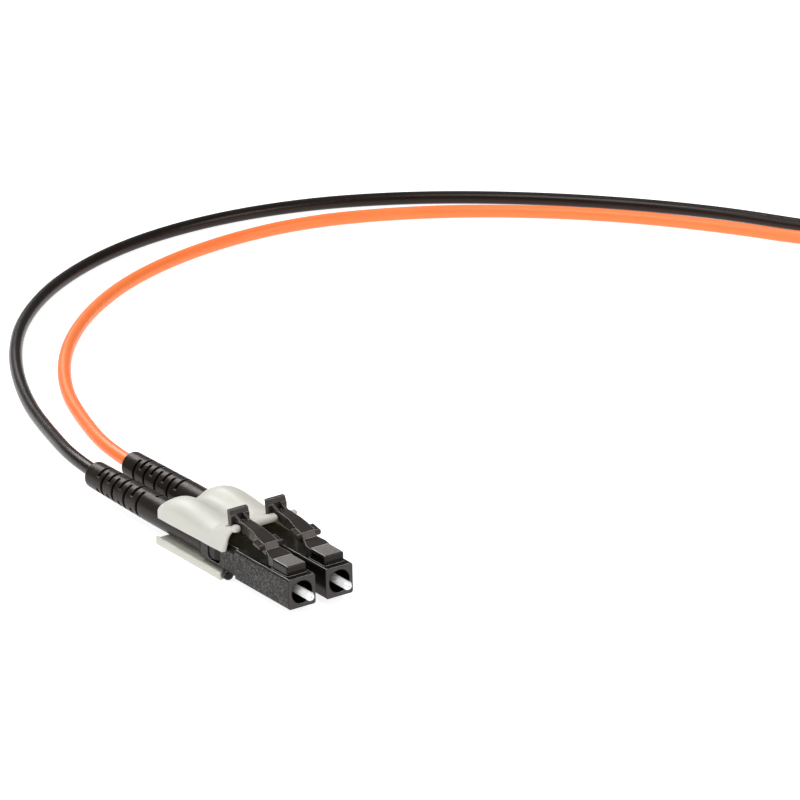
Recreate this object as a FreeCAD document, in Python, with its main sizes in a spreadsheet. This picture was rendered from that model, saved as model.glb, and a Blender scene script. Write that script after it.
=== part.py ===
import FreeCAD, Part
import math
import os
import Sketcher

# Duplex LC fibre connector: two sprung-ferrule plugs held side by side by a moulded clip,
# each on its own 2 mm cord.  Every plug is drawn about its own axis: x = 0 is the plug's
# front face, +X points out of the plug, distances behind the face are "stations", and z = 0
# is the plug axis.  The finished frame has its origin under the middle of the connector, on
# the surface that the clip stands on.

doc = FreeCAD.newDocument("duplex_lc_connector")
sheet = doc.addObject("Spreadsheet::Sheet", "sizes")

SIZES = {
    # spacing of the two plugs and the space that the clip leaves round them
    "pitch": 6.25,
    "clip_gap": 0.1,
    "inner_gap": 0.05,
    # plug housing: square nose, rear part with cut corners, snap windows, ferrule passage
    "plug_size": 4.5,
    "plug_edge": 0.22,
    "housing_length": 22.0,
    "nose_length": 13.3,
    "rear_corner": 0.7,
    "mouth_radius": 1.7,
    "mouth_depth": 3.4,
    "stop_wall": 0.6,
    "guide_radius": 0.95,
    "spring_room_radius": 1.6,
    "shank_radius": 1.75,
    "shank_length": 8.6,
    "window_back": 5.0,
    "window_length": 3.1,
    "window_height": 2.6,
    "window_corner": 1.0,
    "boss_radius": 0.8,
    "boss_offset": 1.8,
    "boss_drop": 0.15,
    "boss_length": 1.0,
    # latch: root block on the housing, lever with ledge, locking lugs, arm and thumb paddle
    "root_station": 1.1,
    "root_width": 3.3,
    "root_height": 1.45,
    "root_round": 0.4,
    "root_edge": 0.2,
    "hinge_station": 5.0,
    "hinge_height": 0.8,
    "knuckle_radius": 0.62,
    "hinge_gap": 0.04,
    "ledge_station": 7.05,
    "ledge_rake": 0.53,
    "ledge_foot": 1.83,
    "ledge_top": 2.65,
    "ledge_width": 2.3,
    "lever_foot": 0.18,
    "lever_foot_length": 0.75,
    "ledge_underside": 1.0,
    "lug_station": 7.3,
    "lug_length": 1.7,
    "lug_span": 4.0,
    "lug_height": 0.8,
    "lug_round": 0.28,
    "lug_front_top": 2.6,
    "lug_rear_top": 2.9,
    "knee_station": 10.7,
    "knee_top": 3.47,
    "arm_width": 1.95,
    "arm_thickness": 1.5,
    "neck_station": 13.15,
    "neck_top": 3.72,
    "neck_width": 1.65,
    "paddle_station": 15.13,
    "paddle_width": 3.05,
    "paddle_bottom": 2.84,
    "paddle_top": 5.08,
    "paddle_lean": 0.27,
    "paddle_thickness": 0.66,
    "paddle_edge": 0.1,
    "rib_top": 4.33,
    "rib_width": 0.28,
    "rib_run": 1.35,
    "thumb_hollow": 0.35,
    # ferrule group
    "ferrule_radius": 0.6245,
    "ferrule_proud": 2.4,
    "ferrule_seat": 1.4,
    "ferrule_chamfer": 0.16,
    "flange_radius": 1.42,
    "flange_length": 1.9,
    "flange_edge": 0.2,
    "flange_notch": 0.35,
    "notch_count": 6.0,
    "tail_radius": 0.75,
    "tail_overlap": 0.5,
    "fibre_radius": 0.45,
    "fibre_back": 0.8,
    "spring_wire_radius": 0.17,
    "spring_radius": 1.14,
    "spring_turns": 6.0,
    "spring_gap": 0.02,
    # rear body, crimp sleeve and boot
    "stem_length": 2.0,
    "stem_radius": 1.5,
    "body_bore_radius": 0.85,
    "tab_side_gap": 0.25,
    "tab_length": 2.3,
    "tab_recess": 0.12,
    "tab_ramp": 0.9,
    "tab_root": 0.3,
    "collar_radius": 1.9,
    "collar_length": 0.55,
    "barrel_radius": 1.4,
    "barrel_length": 5.45,
    "barrel_groove": 0.12,
    "groove_width": 0.3,
    "groove_count": 6.0,
    "crimp_gap": 0.85,
    "crimp_wall": 0.25,
    "crimp_overhang": 0.4,
    "crimp_cone": 0.7,
    "crimp_neck": 4.0,
    "boot_stand_off": 0.2,
    "boot_length": 30.3,
    "boot_radius": 2.2,
    "boot_tail_radius": 1.98,
    "boot_taper_start": 14.8,
    "boot_end_round": 0.4,
    "boot_step_gap": 0.4,
    "slot_start": 16.1,
    "slot_count": 8.0,
    "slot_step": 1.7,
    "slot_step_loss": 0.065,
    "slot_width": 0.6,
    "slot_floor": 0.85,
    "short_slot_ahead": 2.6,
    "short_slot_span": 1.5,
    "short_slot_floor": 1.55,
    # cords
    "cord_radius": 1.0,
    "cord_gap": 0.05,
    "jacket_gap": 0.7,
    # duplex clip
    "clip_wall": 0.425,
    "clip_floor": 1.0,
    "floor_cover": 5.6,
    "floor_overrun": 0.8,
    "floor_round": 0.3,
    "floor_rim_rise": 0.25,
    "floor_rim_round": 0.2,
    "clip_overrun": 10.0,
    "web_inset": 0.4,
    "web_cover": 4.4,
    "skirt_rear": 0.92,
    "skirt_front": 1.3,
    "hood_rear_rise": 0.94,
    "hood_swell_rise": 2.05,
    "hood_level_rise": 1.75,
    "hood_crease_rise": 1.7,
    "hood_crest_rise": 3.42,
    "swell_run": 2.5,
    "level_run": 11.0,
    "crease_run": 13.0,
    "crest_run": 17.7,
    "roof_thickness": 0.7,
    "brow_run": 16.35,
    "brow_hollow": 0.15,
    "rear_shoulder": 1.25,
    "rear_valley": 0.9,
    "swell_shoulder": 1.7,
    "swell_valley": 1.0,
    "level_shoulder": 1.5,
    "level_valley": 0.5,
    "crease_shoulder": 1.4,
    "crease_valley": 0.12,
    "crest_shoulder": 1.45,
    "crest_dip": 0.06,
    "mouth_shoulder": 0.9,
    "lip_radius": 0.5,
    "lip_run": 18.3,
    "rim_radius": 0.3,
    "notch_width": 2.3,
    "bead_end_gap": 0.12,
    "paddle_room": 0.1,
    "paddle_room_depth": 0.45,
    # stored coils and their ties
    "coil_radius": 12.2,
    "coil_rows": 3.0,
    "coil_x": -41.0,
    "coil_y": 161.0,
    "tie_thickness": 0.5,
    "tie_width": 5.0,
    "tie_gap": 0.05,
    "tie_slack": 0.4,
}


class Size:
    """A length with the sheet expression that it comes from, so sums of sizes stay bound."""

    def __init__(self, value, text):
        self.value = value
        self.text = text

    def join(self, other, sign, result, swap=False):
        text = other.text if isinstance(other, Size) else repr(other)
        left, right = (text, self.text) if swap else (self.text, text)
        return Size(result, f"({left} {sign} {right})")

    def __add__(self, other):
        return self.join(other, "+", self.value + number(other))

    def __radd__(self, other):
        return self.join(other, "+", self.value + number(other), swap=True)

    def __sub__(self, other):
        return self.join(other, "-", self.value - number(other))

    def __rsub__(self, other):
        return self.join(other, "-", number(other) - self.value, swap=True)

    def __mul__(self, other):
        return self.join(other, "*", self.value * number(other))

    def __rmul__(self, other):
        return self.join(other, "*", self.value * number(other), swap=True)

    def __truediv__(self, other):
        return self.join(other, "/", self.value / number(other))

    def __neg__(self):
        return Size(-self.value, f"(0 - {self.text})")


def number(size):
    """The plain value of a Size, or of a number as it is."""
    return size.value if isinstance(size, Size) else float(size)


class Sizes:
    """The sheet's cells by name."""


s = Sizes()
for row, (name, value) in enumerate(SIZES.items(), start=1):
    sheet.set(f"A{row}", name)
    sheet.set(f"B{row}", str(value))
    sheet.setAlias(f"B{row}", name)
    setattr(s, name, Size(value, f"sizes.{name}"))
doc.recompute()

# Sizes that several pieces share: stations behind the front face, and half widths.
plug_half = s.plug_size / 2
stop_station = s.mouth_depth + s.stop_wall
flange_rear = stop_station + s.flange_length
shank_room = s.shank_radius + s.inner_gap
shank_station = s.housing_length - s.shank_length
stem_station = shank_station - s.stem_length
tail_rear = stem_station + s.tail_overlap
window_station = s.housing_length - s.window_back
window_rear = window_station + s.window_length
collar_rear = s.housing_length + s.collar_length
barrel_station = collar_rear + s.barrel_length
jacket_station = barrel_station + s.jacket_gap
fibre_rear = barrel_station - s.fibre_back
crimp_station = collar_rear + s.crimp_gap
crimp_shoulder = barrel_station + s.crimp_overhang
crimp_end = crimp_shoulder + s.crimp_neck
boot_station = s.housing_length + s.boot_stand_off
boot_rear = boot_station + s.boot_length
boot_taper_station = boot_station + s.boot_taper_start
slot_station = boot_station + s.slot_start
floor_front = s.housing_length - s.floor_cover
clip_rear = s.housing_length + s.clip_overrun
clip_half = s.pitch / 2 + plug_half + s.clip_gap + s.clip_wall
bay_half = plug_half + s.clip_gap
axis_height = s.clip_floor + bay_half
front_x = (boot_rear - s.ferrule_proud) / 2
SIDES = (("near", -1), ("far", 1))

# How far a cut starts outside the surface that it crosses, and shares that shape curves.
PAST = 1.0
ARC_SHARE = 0.45  # of the shorter run at a cord's corner, on either side of it
FULLNESS = 0.55  # of a quarter arc's width or height: where its Bezier poles stand
BOSS_NOSE = ((0.47, 1.0), (0.14, 0.86), (0.0, 0.53))  # back from the tip, and out, in radii
RIM_PATH = ((0.0, 1.0), (0.55, 0.7), (1.2, 0.52), (2.5, 0.36))  # in, in radii; down, in drops
BOOT_TURNS = {"near": -9.0, "far": 81.0}  # degrees about its own axis, as pushed on
TIE_BEARINGS = {"coil_tie_front": 240.0, "coil_tie_back": 80.0}


def bind(target, prop, size):
    """Ties a property to the sheet, or sets it when it is a plain number."""
    if isinstance(size, Size):
        target.setExpression(prop, size.text)
    else:
        setattr(target, prop, size)


def place(piece, side, spin=0.0, station=0.0, upright=False):
    """Puts a plug's piece on its own axis of the pair, turned about that axis by spin, with
    its own origin at the given station; an upright piece is first laid along +X."""
    turn = FreeCAD.Rotation(FreeCAD.Vector(1, 0, 0), spin)
    if upright:
        turn = FreeCAD.Rotation(FreeCAD.Vector(0, 1, 0), 90)
    piece.Placement = FreeCAD.Placement(FreeCAD.Vector(0, 0, 0), turn)
    piece.setExpression("Placement.Base.x", (front_x - station).text)
    piece.setExpression("Placement.Base.y", (s.pitch * (side / 2)).text)
    piece.setExpression("Placement.Base.z", axis_height.text)


def new_body(label):
    body = doc.addObject("PartDesign::Body", label)
    body.Label = label
    return body


def new_sketch(body, name, role, offset=0.0):
    """A sketch on one of the body's own origin planes, moved along that plane's normal."""
    sketch = body.newObject("Sketcher::SketchObject", name)
    plane = [p for p in body.Origin.OriginFeatures if p.Role == role][0]
    sketch.AttachmentSupport = [(plane, "")]
    sketch.MapMode = "FlatFace"
    if isinstance(offset, Size):
        sketch.setExpression("AttachmentOffset.Base.z", offset.text)
    elif offset:
        sketch.AttachmentOffset = FreeCAD.Placement(FreeCAD.Vector(0, 0, offset), FreeCAD.Rotation())
    return sketch


def hold_point(sketch, edge, end, u, v):
    """Fixes one end of an edge at u, v from the sketch's origin."""
    for kind, size in (("DistanceX", u), ("DistanceY", v)):
        index = sketch.addConstraint(Sketcher.Constraint(kind, -1, 1, edge, end, number(size)))
        if isinstance(size, Size):
            sketch.setExpression(f"Constraints[{index}]", size.text)


def polygon(sketch, corners):
    """A closed outline through the corners, each held by two bound distances."""
    first = sketch.GeometryCount
    count = len(corners)
    points = [FreeCAD.Vector(number(u), number(v), 0) for u, v in corners]
    for i in range(count):
        sketch.addGeometry(Part.LineSegment(points[i], points[(i + 1) % count]))
    for i in range(count):
        joint = Sketcher.Constraint("Coincident", first + i, 2, first + (i + 1) % count, 1)
        sketch.addConstraint(joint)
    for i, (u, v) in enumerate(corners):
        hold_point(sketch, first + i, 1, u, v)


def rectangle(sketch, u0, u1, v0, v1):
    polygon(sketch, [(u0, v0), (u1, v0), (u1, v1), (u0, v1)])


def circle(sketch, u, v, radius):
    centre = FreeCAD.Vector(number(u), number(v), 0)
    edge = sketch.addGeometry(Part.Circle(centre, FreeCAD.Vector(0, 0, 1), number(radius)))
    index = sketch.addConstraint(Sketcher.Constraint("Radius", edge, number(radius)))
    if isinstance(radius, Size):
        sketch.setExpression(f"Constraints[{index}]", radius.text)
    hold_point(sketch, edge, 3, u, v)


def centre_line(sketch, u0, u1, v):
    """A construction line to turn an outline about, level with the sketch's own X."""
    ends = [FreeCAD.Vector(number(u), number(v), 0) for u in (u0, u1)]
    edge = sketch.addGeometry(Part.LineSegment(*ends), True)
    hold_point(sketch, edge, 1, u0, v)
    hold_point(sketch, edge, 2, u1, v)


def extrude(body, kind, name, sketch, length, backwards=False, both_ways=False):
    """A Pad or Pocket of a sketch; both_ways spreads the length evenly about the sketch."""
    feature = body.newObject(f"PartDesign::{kind}", name)
    feature.Profile = sketch
    bind(feature, "Length", length)
    feature.Reversed = backwards
    feature.Midplane = both_ways
    return feature


def turned(body, kind, name, corners):
    """A Revolution or Groove of an outline above the plug axis, turned about that axis."""
    sketch = new_sketch(body, f"{name}_outline", "XZ_Plane")
    polygon(sketch, corners)
    feature = body.newObject(f"PartDesign::{kind}", name)
    feature.Profile = sketch
    feature.ReferenceAxis = (sketch, ["H_Axis"])
    feature.Angle = 360
    return feature


def edges_where(feature, test):
    """Names of the feature's edges whose box centre and size pass the test."""
    doc.recompute()
    names = []
    for index, edge in enumerate(feature.Shape.Edges, start=1):
        box = edge.BoundBox
        if test(box):
            names.append(f"Edge{index}")
    return names


def close_to(value, size, slack=0.02):
    return abs(value - number(size)) < slack


def dress(body, kind, name, base, edges, size):
    """A Fillet or Chamfer of the named edges of the feature before it."""
    feature = body.newObject(f"PartDesign::{kind}", name)
    feature.Base = (base, edges)
    bind(feature, "Radius" if kind == "Fillet" else "Size", size)
    return feature


# ---------------------------------------------------------------- plug housing


def plug_housing(label, side):
    """One moulding: square nose, cut-cornered rear part, stepped bore, two snap windows, the
    latch's root block with a round seat for the lever, and two stop bosses under its rear."""
    body = new_body(label)
    outline = new_sketch(body, f"{label}_section", "YZ_Plane")
    rectangle(outline, -plug_half, plug_half, -plug_half, plug_half)
    shell = extrude(body, "Pad", f"{label}_shell", outline, s.housing_length, backwards=True)
    long_edges = edges_where(shell, lambda b: b.XLength > s.housing_length.value - 0.1)
    shell = dress(body, "Chamfer", f"{label}_edges", shell, long_edges, s.plug_edge)

    corners = new_sketch(body, f"{label}_corners", "YZ_Plane", -s.housing_length)
    reach = plug_half + s.plug_edge
    for y_way, z_way in ((1, 1), (-1, 1), (-1, -1), (1, -1)):
        near_corner = plug_half - s.rear_corner
        ends = [(reach, near_corner - s.plug_edge), (reach, reach), (near_corner - s.plug_edge, reach)]
        polygon(corners, [(u * y_way, v * z_way) for u, v in ends])
    rear = s.housing_length - s.nose_length
    extrude(body, "Pocket", f"{label}_rear_corners", corners, rear, backwards=True)

    bore = [
        (PAST, 0.0),
        (PAST, s.mouth_radius),
        (-s.mouth_depth, s.mouth_radius),
        (-s.mouth_depth, s.guide_radius),
        (-stop_station, s.guide_radius),
        (-stop_station, s.spring_room_radius),
        (-shank_station, s.spring_room_radius),
        (-shank_station, shank_room),
        (-s.housing_length - PAST, shank_room),
        (-s.housing_length - PAST, 0.0),
    ]
    turned(body, "Groove", f"{label}_bore", bore)

    window = new_sketch(body, f"{label}_window", "XZ_Plane")
    rectangle(window, -window_rear, -window_station, -s.window_height / 2, s.window_height / 2)
    cut = extrude(body, "Pocket", f"{label}_windows", window, s.plug_size * 2, both_ways=True)
    corner_edges = edges_where(cut, lambda b: window_corner_edge(b))
    cut = dress(body, "Fillet", f"{label}_window_corners", cut, corner_edges, s.window_corner)

    root = new_sketch(body, f"{label}_root", "XZ_Plane")
    root_top = plug_half + s.root_height
    rectangle(root, -s.hinge_station, -s.root_station, plug_half - s.plug_edge, root_top)
    block = extrude(body, "Pad", f"{label}_latch_root", root, s.root_width, both_ways=True)
    front_top = edges_where(
        block,
        lambda b: close_to(b.XMax, -s.root_station)
        and close_to(b.XMin, -s.root_station)
        and close_to(b.ZMin, root_top)
        and b.YLength > s.root_width.value / 2,
    )
    block = dress(body, "Fillet", f"{label}_root_round", block, front_top, s.root_round)
    long_top = edges_where(
        block,
        lambda b: b.XLength > s.root_width.value / 2
        and close_to(b.ZMin, root_top)
        and close_to(b.ZMax, root_top),
    )
    dress(body, "Chamfer", f"{label}_root_edges", block, long_top, s.root_edge)
    seat = new_sketch(body, f"{label}_lever_seat", "XZ_Plane")
    circle(seat, -s.hinge_station, plug_half + s.hinge_height, s.knuckle_radius + s.hinge_gap)
    extrude(body, "Pocket", f"{label}_lever_room", seat, s.root_width * 2, both_ways=True)

    boss_rear = -floor_front + s.clip_gap
    boss_front = boss_rear + s.boss_length
    for way in (-1, 1):
        name = f"{label}_boss_{way + 1}"
        boss = new_sketch(body, name, "XY_Plane", -plug_half - s.boss_drop)
        nose = [(boss_rear, 0.0), (boss_rear, s.boss_radius)]
        nose += [(boss_front - s.boss_radius * u, s.boss_radius * v) for u, v in BOSS_NOSE]
        nose.append((boss_front, 0.0))
        polygon(boss, [(u, (s.boss_offset + v) * way) for u, v in nose])
        stud = body.newObject("PartDesign::Revolution", f"{name}_stud")
        stud.Profile = boss
        centre_line(boss, boss_rear, boss_front, s.boss_offset * way)
        stud.ReferenceAxis = (boss, ["Axis0"])
        stud.Angle = 360
    place(body, side)
    return body


def window_corner_edge(box):
    """Short edges through the side wall at the four corners of a window."""
    at_end = close_to(box.XMin, -window_station) or close_to(box.XMin, -window_rear)
    level = close_to(abs(box.ZMin), s.window_height / 2) and box.ZLength < 0.02
    return box.XLength < 0.02 and at_end and level and box.YLength > 0.1


# ---------------------------------------------------------------- latch lever


def latch_lever(label, side):
    """Cantilever latch: a side outline pulled across the paddle's width and cut to its plan
    outline, so root, ledge, arm, neck and thumb paddle run into each other; then the round
    knuckle at its root, the two locking lugs and the hollow between the paddle's two ribs."""
    body = new_body(label)
    outline = new_sketch(body, f"{label}_profile", "XZ_Plane")
    paddle_back = s.paddle_station + s.paddle_thickness
    ledge_back = s.ledge_station + s.ledge_rake
    lean = s.paddle_lean
    profile = [
        (s.hinge_station, s.hinge_height + s.knuckle_radius),
        (s.ledge_station, s.ledge_foot),
        (ledge_back, s.ledge_top),
        (s.knee_station, s.knee_top),
        (s.neck_station, s.neck_top),
        (s.paddle_station - s.rib_run, s.neck_top),
        (s.paddle_station, s.rib_top),
        (s.paddle_station + lean, s.paddle_top - s.paddle_edge),
        (s.paddle_station + lean + s.paddle_edge, s.paddle_top),
        (paddle_back + lean - s.paddle_edge, s.paddle_top),
        (paddle_back + lean, s.paddle_top - s.paddle_edge),
        (paddle_back, s.paddle_bottom),
        (s.paddle_station, s.paddle_bottom),
        (s.neck_station, s.neck_top - s.arm_thickness),
        (s.knee_station, s.knee_top - s.arm_thickness),
        (ledge_back + s.lug_length, s.knee_top - s.arm_thickness - s.rib_width),
        (s.ledge_station, s.ledge_underside),
        (s.hinge_station + s.lever_foot_length, s.lever_foot),
        (s.hinge_station, s.lever_foot),
    ]
    polygon(outline, [(-u, plug_half + v) for u, v in profile])
    extrude(body, "Pad", f"{label}_blank", outline, s.root_width, both_ways=True)

    plan = new_sketch(body, f"{label}_plan", "XY_Plane")
    half_root = s.root_width / 2
    half_paddle = s.paddle_width / 2
    paddle_foot = s.paddle_station - s.paddle_edge
    edge = [
        (s.hinge_station, half_root),
        (s.hinge_station + s.knuckle_radius, half_root),
        (s.ledge_station, s.ledge_width / 2),
        (ledge_back + s.lug_length, s.ledge_width / 2),
        (s.knee_station, s.arm_width / 2),
        (s.neck_station, s.neck_width / 2),
        (paddle_foot, s.neck_width / 2 + s.paddle_edge),
        (paddle_foot, half_paddle),
        (paddle_back + lean, half_paddle),
        (paddle_back + lean, half_root + PAST),
        (s.hinge_station, half_root + PAST),
    ]
    for way in (1, -1):
        polygon(plan, [(-u, v * way) for u, v in edge])
    depth = (plug_half + s.paddle_top + PAST) * 2
    extrude(body, "Pocket", f"{label}_sides", plan, depth, both_ways=True)

    knuckle = new_sketch(body, f"{label}_knuckle", "XZ_Plane")
    circle(knuckle, -s.hinge_station, plug_half + s.hinge_height, s.knuckle_radius)
    extrude(body, "Pad", f"{label}_knuckle_bar", knuckle, s.root_width, both_ways=True)

    lug_back = s.lug_station + s.lug_length
    lug = [
        (s.lug_station, s.lug_front_top - s.lug_height),
        (s.lug_station, s.lug_front_top - s.paddle_edge),
        (s.lug_station + s.paddle_edge, s.lug_front_top),
        (lug_back, s.lug_rear_top),
        (lug_back, s.lug_rear_top - s.lug_height),
    ]
    wing = (s.lug_span - s.ledge_width) / 2
    for way, outwards in ((-1, False), (1, True)):
        name = f"{label}_lug_{way + 1}"
        sketch = new_sketch(body, name, "XZ_Plane", s.ledge_width / 2 * -way)
        polygon(sketch, [(-u, plug_half + v) for u, v in lug])
        fin = extrude(body, "Pad", f"{name}_wing", sketch, wing, backwards=outwards)
        tip = s.lug_span / 2 * way
        rims = edges_where(
            fin,
            lambda b, y=number(tip): close_to(b.YMin, y)
            and close_to(b.YMax, y)
            and b.XLength > s.lug_length.value / 2,
        )
        dress(body, "Fillet", f"{name}_tip", fin, rims, s.lug_round)

    hollow = new_sketch(body, f"{label}_hollow", "XZ_Plane")
    floor = s.neck_top - s.thumb_hollow
    cup = [
        (s.paddle_station - s.rib_run, s.neck_top),
        (s.paddle_station - s.thumb_hollow, floor),
        (s.paddle_station, floor),
        (s.paddle_station + s.paddle_edge, s.rib_top),
        (s.paddle_station - s.rib_run, s.rib_top),
    ]
    polygon(hollow, [(-u, plug_half + v) for u, v in cup])
    extrude(body, "Pocket", f"{label}_thumb_hollow", hollow, s.neck_width - s.rib_width * 2, both_ways=True)
    place(body, side)
    return body


# ---------------------------------------------------------------- ferrule group


def ferrule(label, side):
    """Ceramic sleeve that holds the fibre's end, ground to a shallow cone at its tip."""
    body = new_body(label)
    tip = s.ferrule_proud
    tail = -stop_station - s.ferrule_seat
    outline = [
        (tail, 0.0),
        (tail, s.ferrule_radius),
        (tip - s.ferrule_chamfer * 2, s.ferrule_radius),
        (tip - 0.03, s.ferrule_radius - s.ferrule_chamfer),
        (tip, s.ferrule_radius - s.ferrule_chamfer - 0.12),
        (tip, 0.0),
    ]
    turned(body, "Revolution", f"{label}_turning", outline)
    place(body, side)
    return body


def ferrule_flange(label, side):
    """Collar that stops the ferrule and takes the spring, with tuning notches and a tail tube."""
    body = new_body(label)
    front = -stop_station
    tail_end = -tail_rear
    fibre_room = s.fibre_radius + s.inner_gap
    outline = [
        (front, s.ferrule_radius),
        (front, s.flange_radius - s.flange_edge),
        (front - s.flange_edge, s.flange_radius),
        (-flange_rear, s.flange_radius),
        (-flange_rear, s.tail_radius),
        (tail_end, s.tail_radius),
        (tail_end, fibre_room),
        (front - s.ferrule_seat, fibre_room),
        (front - s.ferrule_seat, s.ferrule_radius),
    ]
    turned(body, "Revolution", f"{label}_turning", outline)
    notch = new_sketch(body, f"{label}_notch", "YZ_Plane", front)
    notch_floor = s.flange_radius - s.flange_notch
    rectangle(notch, -s.flange_notch / 2, s.flange_notch / 2, notch_floor, s.flange_radius * 2)
    cut = extrude(body, "Pocket", f"{label}_notch_cut", notch, s.flange_length / 2)
    ring = body.newObject("PartDesign::PolarPattern", f"{label}_notches")
    ring.Originals = [cut]
    ring.Axis = ([a for a in body.Origin.OriginFeatures if a.Role == "X_Axis"][0], [""])
    ring.Angle = 360
    ring.Occurrences = int(s.notch_count.value)
    body.Tip = ring
    place(body, side)
    return body


def coil_spring(label, side):
    """Compression spring round the flange's tail, between the flange and the rear body."""
    end_room = s.spring_wire_radius + s.spring_gap
    length = number(stem_station - flange_rear - end_room * 2)
    helix = Part.makeHelix(length / s.spring_turns.value, length, s.spring_radius.value)
    start = FreeCAD.Vector(s.spring_radius.value, 0, 0)
    section = Part.Wire(Part.makeCircle(s.spring_wire_radius.value, start, FreeCAD.Vector(0, 1, 0)))
    wire = Part.Wire(helix).makePipeShell([section], True, True)
    spring = doc.addObject("Part::Feature", label)
    spring.Label = label
    spring.Shape = wire
    place(spring, side, station=stem_station - end_room, upright=True)
    return spring


def buffered_fibre(label, side):
    """Tight-buffered fibre from the back of the ferrule into the rear body's bore."""
    fibre = doc.addObject("Part::Cylinder", label)
    fibre.Label = label
    fibre_front = stop_station + s.ferrule_seat
    bind(fibre, "Radius", s.fibre_radius)
    bind(fibre, "Height", fibre_rear - fibre_front)
    place(fibre, side, station=fibre_rear, upright=True)
    return fibre


# ---------------------------------------------------------------- rear body, crimp sleeve, boot


def rear_body(label, side):
    """Tube that closes the housing from behind: spring stem, shank with two snap tabs that
    stand in the housing's windows, collar against the housing's end, and a grooved barrel."""
    body = new_body(label)
    shank_front = shank_station + s.inner_gap
    outline = [
        (-stem_station, s.body_bore_radius),
        (-stem_station, s.stem_radius),
        (-shank_front, s.stem_radius),
        (-shank_front, s.shank_radius),
        (-s.housing_length, s.shank_radius),
        (-s.housing_length, s.collar_radius),
        (-collar_rear, s.collar_radius),
        (-collar_rear, s.barrel_radius),
        (-barrel_station, s.barrel_radius),
        (-barrel_station, s.body_bore_radius),
    ]
    turned(body, "Revolution", f"{label}_turning", outline)
    tab = new_sketch(body, f"{label}_tab", "XY_Plane")
    tab_rear = window_rear - s.inner_gap
    tab_front = tab_rear - s.tab_length
    tab_top = plug_half - s.tab_recess
    for way in (-1, 1):
        wedge = [
            (-tab_rear, s.shank_radius - s.tab_root),
            (-tab_front, s.shank_radius - s.tab_root),
            (-tab_front, s.shank_radius),
            (-tab_front - s.tab_ramp, tab_top),
            (-tab_rear, tab_top),
        ]
        polygon(tab, [(u, v * way) for u, v in wedge])
    tab_height = s.window_height - s.tab_side_gap * 2
    tabs = extrude(body, "Pad", f"{label}_tabs", tab, tab_height, both_ways=True)
    ends = edges_where(
        tabs,
        lambda b: close_to(b.XMin, -tab_rear)
        and close_to(b.XMax, -tab_rear)
        and b.ZLength < s.inner_gap.value
        and b.YLength > s.tab_root.value / 2
        and abs(b.YMax + b.YMin) > s.shank_radius.value,
    )
    dress(body, "Fillet", f"{label}_tab_ends", tabs, ends, s.window_corner - s.tab_side_gap / 2)
    start = crimp_station + s.groove_width
    groove = turned(
        body,
        "Groove",
        f"{label}_groove",
        [
            (-start, s.barrel_radius + s.barrel_groove),
            (-start, s.barrel_radius),
            (-start - s.groove_width / 2, s.barrel_radius - s.barrel_groove),
            (-start - s.groove_width, s.barrel_radius),
            (-start - s.groove_width, s.barrel_radius + s.barrel_groove),
        ],
    )
    row = body.newObject("PartDesign::LinearPattern", f"{label}_grooves")
    row.Originals = [groove]
    row.Direction = ([a for a in body.Origin.OriginFeatures if a.Role == "X_Axis"][0], [""])
    row.Reversed = True
    bind(row, "Length", barrel_station - start - s.groove_width * 2)
    row.Occurrences = int(s.groove_count.value)
    body.Tip = row
    place(body, side)
    return body


def crimp_sleeve(label, side):
    """Thin metal sleeve over the barrel, necked down behind it onto the cord's jacket."""
    body = new_body(label)
    barrel_room = s.barrel_radius + s.inner_gap
    cord_room = s.cord_radius + s.cord_gap
    cone_end = crimp_shoulder + s.crimp_cone
    outline = [
        (-crimp_station, barrel_room),
        (-crimp_station, barrel_room + s.crimp_wall),
        (-crimp_shoulder, barrel_room + s.crimp_wall),
        (-cone_end, cord_room + s.crimp_wall),
        (-crimp_end, cord_room + s.crimp_wall),
        (-crimp_end, cord_room),
        (-cone_end + s.cord_gap, cord_room),
        (-crimp_shoulder + s.cord_gap, barrel_room),
    ]
    turned(body, "Revolution", f"{label}_turning", outline)
    place(body, side)
    return body


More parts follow.
